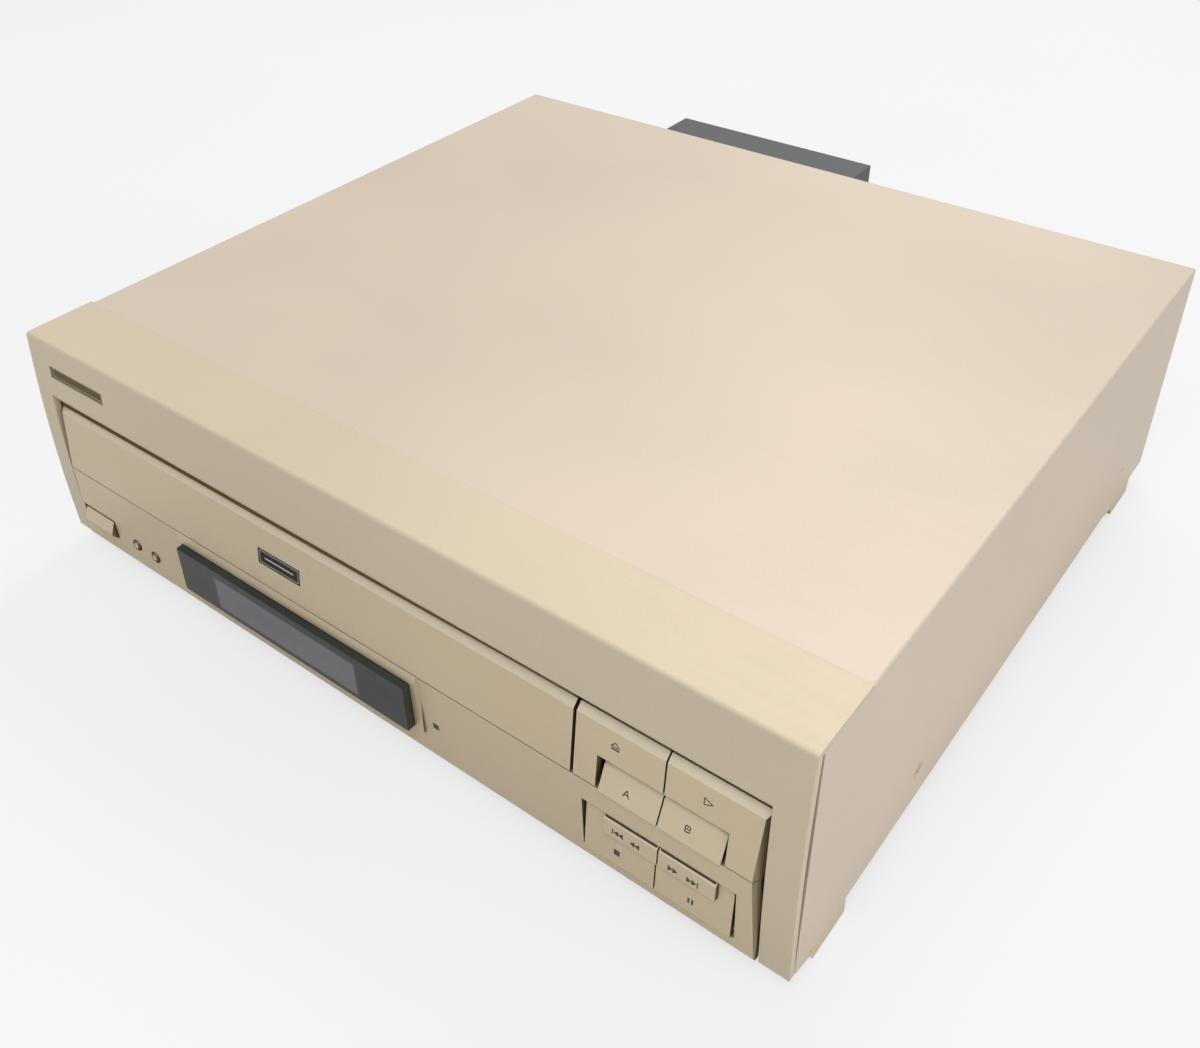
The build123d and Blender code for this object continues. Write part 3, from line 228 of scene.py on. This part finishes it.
def painted(name, colour, rough, metal, grain=1400.0, edge_r=0.35, scuffed=1.0,
            gaps=0.0, reach=2.2, open_at=0.65, flank=0.0, crown=0.0):
    """Fine metallic paint with mottled tone, grain, scuffs, and pale edges that are partly worn and
    partly a painted highlight.

    gaps is how strong the painted shade in narrow gaps is, flank the painted shade on the sides, crown
    the painted highlight on the tops.
    """
    s = Shader(name)
    cloud = s.noise(7.0, 2.0)
    fine = s.noise(grain, 2.0)
    scuff = s.noise(30.0, 6.0, (1.0, 6.0, 1.0))
    tone = s.mix(s.ramp(cloud, 0.3, 0.7), tint(colour, 1 - mottle), tint(colour, 1 + mottle))
    tone = s.mix(s.ramp(fine, 0.35, 0.65, 0.0, 0.35), tone, tint(colour, 1.12))
    # pale edges, partly worn in patches and partly a painted highlight
    wear_and_highlight = s.maths("MULTIPLY", s.edge(edge_r), s.ramp(scuff, 0.25, 0.6, 0.35, 0.9))
    tone = s.mix(wear_and_highlight, tone, gold_pale)
    if flank or crown:
        facing = s.split(s.facing)
        # painted highlight: faces that look upwards turn pale
        tone = s.mix(s.ramp(facing["Z"], 0.25, 0.7, 0.0, crown), tone, gold_pale)
        # painted shade: faces that look sideways turn dark brown
        sideways = s.maths("ABSOLUTE", facing["X"])
        tone = s.mix(s.ramp(sideways, 0.35, 0.85, 0.0, flank), tone, side_shade_colour)
    # painted shade: narrow gaps turn dark brown
    if gaps:
        tone = s.mix(s.maths("MULTIPLY", s.crevice(reach, open_at), gaps), tone, gap_shade_colour)
    s.colour(tone)
    s.body.inputs["Metallic"].default_value = metal
    s.roughness(s.ramp(scuff, 0.3, 0.75, rough - 0.05 * scuffed, rough + 0.08 * scuffed))
    s.bump(fine, 0.25, paint_grain_depth, edge_r)
    return s.material


def plastic(name, colour, rough=0.5, grain=900.0, shine=0.5, depth=0.03):
    """Moulded plastic with a fine spark-eroded grain and edges made a little lighter."""
    s = Shader(name)
    fine = s.noise(grain)
    broad = s.noise(12.0)
    tone = s.mix(s.ramp(broad, 0.3, 0.7), tint(colour, 0.92), tint(colour, 1.06))
    tone = s.mix(s.maths("MULTIPLY", s.edge(fine_edge), 0.35), tone, tint(colour, 1.5, 0.04))
    s.colour(tone)
    s.body.inputs["Specular IOR Level"].default_value = shine
    s.roughness(s.ramp(broad, 0.3, 0.7, rough - 0.05, rough + 0.07))
    s.bump(fine, 0.3, depth, fine_edge)
    return s.material


def steel(name, colour, rough=0.35, stretch=(1.0, 25.0, 1.0), metal=0.9):
    """Plated sheet or turned steel with fine lines along one way."""
    s = Shader(name)
    lines = s.noise(160.0, 4.0, stretch)
    stain = s.noise(16.0)
    tone = s.mix(s.ramp(stain, 0.3, 0.75), tint(colour, 0.85), colour)
    tone = s.mix(s.maths("MULTIPLY", s.edge(fine_edge), 0.5), tone, tint(colour, 1.3))
    s.colour(tone)
    s.body.inputs["Metallic"].default_value = metal
    s.roughness(s.ramp(lines, 0.3, 0.7, rough - 0.08, rough + 0.12))
    s.bump(lines, 0.12, 0.03, fine_edge)
    return s.material


def board(name, colour, copper):
    """Printed board: solder mask over faint copper tracks."""
    s = Shader(name)
    bricks = s.add("ShaderNodeTexBrick")
    bricks.inputs["Scale"].default_value = 90.0
    bricks.inputs["Mortar Size"].default_value = 0.02
    s.link(s.place, bricks.inputs["Vector"])
    tracks = bricks.outputs["Fac"]
    cloud = s.noise(40.0)
    tone = s.mix(s.ramp(cloud, 0.35, 0.65), tint(colour, 0.8), colour)
    tone = s.mix(s.maths("MULTIPLY", tracks, 0.5), tone, copper)
    s.colour(tone)
    s.roughness(s.ramp(cloud, 0.3, 0.7, 0.3, 0.45))
    s.bump(tracks, 0.3, 0.05)
    return s.material


def window_finish():
    """Smoked gloss: dark border with the paler lit area of the display behind it."""
    s = Shader("smoked_window")
    place = s.split(s.place)
    low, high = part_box("display_window")
    soft = lit_soft * MM
    spans = []
    for axis, start, end in (("X", low[0] + lit_left * MM, high[0] - lit_right * MM),
                             ("Z", low[2] + lit_bottom * MM, high[2] - lit_top * MM)):
        after = s.ramp(place[axis], start - soft, start + soft)
        before = s.ramp(place[axis], end - soft, end + soft, 1.0, 0.0)
        spans.append(s.maths("MULTIPLY", after, before))
    lit = s.maths("MULTIPLY", *spans)
    smear = s.noise(14.0, 5.0, (1.0, 1.0, 4.0))
    dust = s.noise(700.0, 2.0)
    border = s.mix(s.ramp(smear, 0.3, 0.7), (0.022, 0.027, 0.025), (0.034, 0.040, 0.037))
    display = s.mix(s.ramp(smear, 0.3, 0.7), (0.125, 0.12, 0.13), (0.165, 0.158, 0.168))
    tone = s.mix(lit, border, display)
    s.colour(s.mix(s.ramp(dust, 0.68, 0.76, 0.0, 0.06), tone, (0.5, 0.5, 0.48)))
    s.roughness(s.ramp(smear, 0.3, 0.7, 0.10, 0.22))
    s.body.inputs["Specular IOR Level"].default_value = 0.35
    s.bump(smear, 0.05, 0.1, fine_edge)
    return s.material


def lens_finish():
    """Coated lens with a violet tinge."""
    s = Shader("lens_glass")
    cloud = s.noise(300.0, 2.0)
    s.colour(s.mix(s.ramp(cloud, 0.3, 0.7), (0.10, 0.08, 0.20), (0.16, 0.14, 0.30)))
    s.roughness(s.ramp(cloud, 0.3, 0.7, 0.04, 0.10))
    s.body.inputs["Coat Weight"].default_value = 0.8
    s.bump(cloud, 0.02, 0.02, fine_edge)
    return s.material


finishes = {
    "champagne": painted("champagne_paint", (0.60, 0.51, 0.37), rough=0.55, metal=0.2, edge_r=0.3,
                         gaps=0.5, scuffed=0.35),
    "cover_paint": painted("cover_paint", (0.61, 0.51, 0.405), rough=0.52, metal=0.15, grain=1100.0,
                           scuffed=0.25),
    "gold_plastic": painted("champagne_moulding", (0.62, 0.51, 0.345), rough=0.38, metal=0.4, edge_r=0.5,
                            gaps=0.9, reach=6.0, open_at=0.8, flank=0.75, crown=0.45),
    "dark_plastic": plastic("dark_grey_steel", (0.085, 0.09, 0.09)),
    "black_plastic": plastic("black_plastic", (0.018, 0.018, 0.019)),
    "white_plastic": plastic("white_nylon", (0.72, 0.71, 0.66), rough=0.45),
    "rubber": plastic("rubber", (0.022, 0.022, 0.022), rough=0.75, grain=500.0, shine=0.3),
    "chip": plastic("chip_resin", (0.02, 0.02, 0.022), rough=0.6),
    "can": steel("capacitor_sleeve", (0.05, 0.06, 0.14), rough=0.4, metal=0.2),
    "iron": steel("laminated_core", (0.16, 0.15, 0.14), rough=0.55, stretch=(25.0, 1.0, 1.0), metal=0.5),
    "copper_tape": plastic("coil_tape", (0.62, 0.47, 0.10), rough=0.4),
    "ribbon": plastic("ribbon_cable", (0.62, 0.62, 0.58)),
    "steel": steel("zinc_steel", (0.60, 0.60, 0.57)),
    "board": board("printed_board", (0.04, 0.12, 0.04), (0.35, 0.42, 0.2)),
    "smoked": window_finish(),
    "lens": lens_finish(),
}
bronze = steel("bronze_plate", (0.17, 0.12, 0.045), rough=0.5, stretch=(1.0, 1.0, 12.0))
pale_print = plastic("pale_print", (0.62, 0.58, 0.50), rough=0.4)
# Dark of the painted shade round the round buttons and along the tops of the skip keys
ring_dark = plastic("ring_dark", (0.06, 0.042, 0.02), shine=0.3)
gilt = steel("gilt_screws", (0.74, 0.63, 0.43), rough=0.3, stretch=(1.0, 1.0, 1.0))
feet_paint = painted("feet_moulding", (0.60, 0.50, 0.36), rough=0.45, metal=0.2, edge_r=0.5)
emblem_dark = plastic("emblem_dark", (0.016, 0.014, 0.012), shine=0.25)
ink = plastic("printed_ink", (0.045, 0.038, 0.03), rough=0.45, grain=1500.0)
# Dark brown of the painted shade in the gaps over the door and the power button
brown_shade = plastic("brown_shade", (0.13, 0.082, 0.024), rough=0.9, grain=1600.0, shine=0.1, depth=0.1)
own_finishes = {
    "badge_plate": bronze,
    "cover_screws": gilt,
    "front_feet": feet_paint,
    "rear_feet": feet_paint,
    "door_emblem": emblem_dark,
}
for name, node in nodes.items():
    node.data.materials.clear()
    node.data.materials.append(own_finishes.get(name, finishes[slot_of[name]]))


# ---------------------------------------------------------------- pieces

def solid(name, mesh, material):
    """An object made from a bmesh, with its faces turned outwards."""
    bmesh.ops.recalc_face_normals(mesh, faces=mesh.faces)
    data = bpy.data.meshes.new(name)
    mesh.to_mesh(data)
    mesh.free()
    data.materials.append(material)
    piece = bpy.data.objects.new(name, data)
    bpy.context.collection.objects.link(piece)
    return piece


def band(mesh, a, b):
    """Faces between two closed loops of points."""
    for k in range(len(a)):
        j = (k + 1) % len(a)
        mesh.faces.new((a[k], a[j], b[j], b[k]))


def surface(node):
    mesh = nodes[node].data
    return BVHTree.FromPolygons([v.co for v in mesh.vertices], [p.vertices for p in mesh.polygons])


def front_y(tree, x, z):
    """Where a straight line from the front meets the surface."""
    return tree.ray_cast(Vector((x, ray_from, z)), Vector((0, 1, 0)))[0].y


def middle(node):
    low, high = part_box(node)
    return ((low[0] + high[0]) / 2 / MM, (low[2] + high[2]) / 2 / MM)


# ---------------------------------------------------------------- printed marks

def bar(x0, z0, x1, z1):
    return [(x0, z0), (x1, z0), (x1, z1), (x0, z1)]


def outline(wide, high, thick):
    """Rectangle of four thin bars."""
    x, z = wide / 2, high / 2
    return [bar(-x, z - thick, x, z), bar(-x, -z, x, -z + thick),
            bar(-x, -z + thick, -x + thick, z - thick), bar(x - thick, -z + thick, x, z - thick)]


def arrows(x_first, x_second, side):
    """Two solid triangles that point to one side."""
    tip, high = side * 1.05, 1.35
    return [[(x - tip, -high), (x - tip, high), (x + tip, 0.0)] for x in (x_first, x_second)]


def stroke(a, b):
    """Thin bar from a to b."""
    along = Vector((b[0] - a[0], b[1] - a[1])).normalized() * line / 2
    side = Vector((-along.y, along.x))
    return [(a[0] - side.x, a[1] - side.y), (b[0] - side.x, b[1] - side.y),
            (b[0] + side.x, b[1] + side.y), (a[0] + side.x, a[1] + side.y)]


def strokes(*points):
    """Thin bars from each point to the next."""
    return [stroke(a, b) for a, b in zip(points, points[1:])]


def printed(name, node, centre, shapes, material):
    """Flat mark that follows the face of a node: each shape is a polygon round the centre."""
    tree = surface(node)
    mesh = bmesh.new()
    for shape in shapes:
        places = [((centre[0] + x) * MM, (centre[1] + z) * MM) for x, z in shape]
        faces = [(x, front_y(tree, x, z), z) for x, z in places]
        outer = [mesh.verts.new((x, y - proud * MM, z)) for x, y, z in faces]
        inner = [mesh.verts.new((x, y + proud * MM, z)) for x, y, z in faces]
        mesh.faces.new(outer)
        mesh.faces.new(list(reversed(inner)))
        band(mesh, inner, outer)
    piece = solid(name, mesh, material)
    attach(piece, body_of[node])


eject_left, eject_peak, eject_right = (-1.8, -0.2), (0.0, 1.9), (1.8, -0.2)
eject_mark = strokes(eject_left, eject_peak, eject_right) + [stroke(eject_left, eject_right)]
eject_mark += [bar(-1.8, -1.7, 1.8, -0.9)]
play_low, play_high, play_tip = (-1.4, -1.7), (-1.4, 1.7), (2.0, 0.0)
play_mark = strokes(play_low, play_high, play_tip, play_low)
a_mark = strokes((-1.3, -1.3), (0.0, 1.3), (1.3, -1.3)) + strokes((-0.8, -0.4), (0.8, -0.4))
b_mark = [bar(-1.2, -1.3, -0.8, 1.3), bar(-0.8, 0.9, 0.8, 1.3), bar(-0.8, -0.2, 0.8, 0.2)]
b_mark += [bar(-0.8, -1.3, 0.8, -0.9), bar(0.8, 0.15, 1.2, 1.0), bar(0.8, -1.0, 1.2, -0.15)]
back_mark = arrows(-1.1, 1.0, -1)
forward_mark = arrows(-1.0, 1.1, 1)
ink_marks = [
    ("mark_eject", "eject_button", (135.2, 80.2), eject_mark),
    ("mark_play", "play_button", (173.6, 79.5), play_mark),
    ("mark_side_a", "side_a_key", (141.2, 60.6), a_mark),
    ("mark_side_b", "side_b_key", (167.0, 61.3), b_mark),
    ("mark_skip_back", "skip_back_key", (138.3, 35.9), [bar(-2.8, -1.35, -2.3, 1.35)] + back_mark),
    ("mark_scan_back", "skip_back_key", (145.6, 35.6), back_mark),
    ("mark_scan_forward", "skip_forward_key", (162.2, 35.3), forward_mark),
    ("mark_skip_forward", "skip_forward_key", (170.2, 35.3), forward_mark + [bar(2.3, -1.35, 2.8, 1.35)]),
    ("mark_stop", "stop_key", (137.2, 23.4), [bar(-1.3, -1.4, 1.3, 1.4)]),
    ("mark_pause", "pause_key", (169.8, 22.6), [bar(-1.2, -1.3, -0.4, 1.3), bar(0.4, -1.3, 1.2, 1.3)]),
]
for name, node, centre, shapes in ink_marks:
    printed(name, node, centre, shapes, ink)
plate_marks = [
    ("emblem_outline", "door_emblem", outline(24.4, 6.6, 0.25)),
    ("emblem_bars", "door_emblem", [bar(-9.0, -0.3, 9.0, 0.3)]),
    ("badge_outline", "badge_plate", outline(38.6, 4.9, 0.3)),
]
for name, node, shapes in plate_marks:
    printed(name, node, middle(node), shapes, pale_print)
printed("sensor_mark", "control_panel", (46.2, 30.2), [bar(-1.6, -1.6, 1.6, 1.6)], ink)


# ---------------------------------------------------------------- trim, with dark pieces of painted shade

def lofted(name, sections, body, material, closed=False):
    """Skin through a row of sections, each a closed loop of points."""
    mesh = bmesh.new()
    rows = [[mesh.verts.new(point) for point in section] for section in sections]
    for a, b in zip(rows, rows[1:]):
        band(mesh, a, b)
    if closed:
        band(mesh, rows[-1], rows[0])
    else:
        mesh.faces.new(rows[0])
        mesh.faces.new(list(reversed(rows[-1])))
    piece = solid(name, mesh, material)
    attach(piece, body)


def ring(name, node, body, inner, outer, back):
    """Dark ring of painted shade on the axis of a round button, back millimetres behind its front."""
    x, z = middle(node)
    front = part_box(node)[0][1] / MM + back
    rear = front + ring_thick
    profile = ((inner, front), (outer, front), (outer, rear), (inner, rear))
    sections = []
    for i in range(ring_steps):
        turn = 2 * math.pi * i / ring_steps
        across, up = math.cos(turn), math.sin(turn)
        sections.append([((x + r * across) * MM, y * MM, (z + r * up) * MM) for r, y in profile])
    lofted(name, sections, body, ring_dark, closed=True)


def lip(x, front, top, deep):
    """Section, in metres, of a dark lip of painted shade that hangs down from top, with softened lower
    edges.
    """
    thick = lip_thick * MM
    profile = [(0.0, 0.0), (0.0, -deep * 0.8), (thick * 0.3, -deep), (thick * 0.7, -deep),
               (thick, -deep * 0.8), (thick, 0.0)]
    return [(x, front + y, top + z) for y, z in profile]


def door_gap_shade():
    """Dark lip of painted shade under the frame, along the top of the door and deeper at its left."""
    low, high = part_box("tray_door")
    left = low[0] + door_shade_left_gap * MM
    wide = high[0] - door_shade_right_gap * MM - left
    sections = []
    for i in range(door_shade_steps + 1):
        share = i / door_shade_steps
        deep = door_shade_deep - door_shade_taper * share ** 3
        sections.append(lip(left + share * wide, door_shade_front * MM, door_shade_top * MM, deep * MM))
    lofted("door_gap_shade", sections, "case", brown_shade)


def power_gap_shade():
    """Dark lip of painted shade in the gap over the power button, just behind the face of the panel."""
    low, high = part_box("power_button")
    gap_top = high[2] + power_gap * MM
    face = front_y(surface("control_panel"), (low[0] + high[0]) / 2, gap_top + 0.5 * MM)
    front = face + power_shade_back * MM
    top = gap_top + power_shade_hold * MM
    sections = [lip(x, front, top, power_shade_deep * MM) for x in (low[0], high[0])]
    lofted("power_gap_shade", sections, "case", brown_shade)


def skip_gap_shade(name, node):
    """Thin dark strip of painted shadow along the top edge of a skip key."""
    low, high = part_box(node)
    wide = (high[0] - low[0]) / 2 / MM - skip_shade_margin
    place = (middle(node)[0], high[2] / MM)
    strip = bar(-wide, skip_shade_low, wide, skip_shade_high)
    printed(name, node, place, [strip], ring_dark)


skip_gap_shade("skip_back_shade", "skip_back_key")
skip_gap_shade("skip_forward_shade", "skip_forward_key")
door_gap_shade()
power_gap_shade()
for side in ("left", "right"):
    button = f"round_button_{side}"
    ring(f"button_gap_shade_{side}", button, "case", **panel_shade_ring)
    ring(f"button_edge_shade_{side}", button, body_of[button], **button_shade_ring)


# ---------------------------------------------------------------- floor, light and camera

def floor():
    """Pale floor that looks nearly white to the camera and keeps a soft shadow."""
    s = Shader("pale_floor")
    cloud = s.noise(2.0, 2.0)
    s.colour(s.mix(s.ramp(cloud, 0.3, 0.7), (0.66, 0.66, 0.66), (0.70, 0.70, 0.705)))
    s.body.inputs["Roughness"].default_value = 0.6
    s.body.inputs["Specular IOR Level"].default_value = 0.2
    glow = s.add("ShaderNodeEmission")
    glow.inputs["Color"].default_value = (0.99, 0.99, 1.0, 1.0)
    path = s.add("ShaderNodeLightPath")
    blend = s.add("ShaderNodeMixShader")
    s.link(s.maths("MULTIPLY", path.outputs["Is Camera Ray"], 0.7), blend.inputs[0])
    s.link(s.body.outputs[0], blend.inputs[1])
    s.link(glow.outputs[0], blend.inputs[2])
    s.link(blend.outputs[0], s.out.inputs["Surface"])
    mesh = bmesh.new()
    z = -floor_drop * MM
    signs = ((-1, -1), (1, -1), (1, 1), (-1, 1))
    mesh.faces.new([mesh.verts.new((x * floor_reach, y * floor_reach, z)) for x, y in signs])
    piece = solid("floor", mesh, s.material)


def lamp(name, place, target, size, power):
    data = bpy.data.lights.new(name, "AREA")
    data.shape = "DISK"
    data.size = size
    data.energy = power
    piece = bpy.data.objects.new(name, data)
    piece.location = place
    piece.rotation_euler = (Vector(target) - Vector(place)).to_track_quat("-Z", "Y").to_euler()
    bpy.context.collection.objects.link(piece)


def world():
    """Even studio light, and a nearly white background for the camera."""
    studio = bpy.data.worlds.new("studio")
    bpy.context.scene.world = studio
    studio.use_nodes = True
    tree = studio.node_tree
    tree.nodes.clear()
    light = tree.nodes.new("ShaderNodeBackground")
    light.inputs["Color"].default_value = (0.97, 0.985, 1.0, 1.0)
    light.inputs["Strength"].default_value = 0.54
    white = tree.nodes.new("ShaderNodeBackground")
    white.inputs["Color"].default_value = (0.93, 0.935, 0.95, 1.0)
    path = tree.nodes.new("ShaderNodeLightPath")
    mix = tree.nodes.new("ShaderNodeMixShader")
    out = tree.nodes.new("ShaderNodeOutputWorld")
    tree.links.new(path.outputs["Is Camera Ray"], mix.inputs[0])
    tree.links.new(light.outputs[0], mix.inputs[1])
    tree.links.new(white.outputs[0], mix.inputs[2])
    tree.links.new(mix.outputs[0], out.inputs[0])


def camera():
    """Camera at the photograph's viewing angle: place and angles, lens in pixels of its frame."""
    place = Vector((315.4, -491.05, 446.3)) * MM
    azimuth = math.radians(40.40)
    elevation = math.radians(31.77)
    roll = math.radians(-1.64)
    focal_px = 1316.2
    centre_px = (491.6, 357.8)
    flat = math.cos(elevation)
    back = Vector((math.sin(azimuth) * flat, -math.cos(azimuth) * flat, math.sin(elevation)))
    level = Vector((math.cos(azimuth), math.sin(azimuth), 0))
    upright = back.cross(level)
    right = math.cos(roll) * level + math.sin(roll) * upright
    up = -math.sin(roll) * level + math.cos(roll) * upright
    data = bpy.data.cameras.new("camera")
    data.sensor_width = 36.0
    data.lens = focal_px / image_wide * data.sensor_width
    data.shift_x = (image_wide / 2 - centre_px[0]) / image_wide
    data.shift_y = (centre_px[1] - image_high / 2) / image_wide
    data.clip_start = 0.01
    piece = bpy.data.objects.new("camera", data)
    turn = Matrix((right, up, back)).transposed().to_4x4()
    piece.matrix_world = Matrix.Translation(place) @ turn
    bpy.context.collection.objects.link(piece)
    bpy.context.scene.camera = piece


floor()
world()
lamp("key", place=(0.4, -1.2, 2.0), target=(0.0, -0.1, 0.1), size=0.8, power=20.0)
lamp("back", place=(-0.3, 1.3, 1.9), target=(0.0, 0.0, 0.1), size=1.0, power=18.0)
lamp("side", place=(2.1, 0.1, 0.7), target=(0.1, 0.0, 0.1), size=1.2, power=11.0)
camera()
bpy.context.scene.view_settings.view_transform = "Standard"
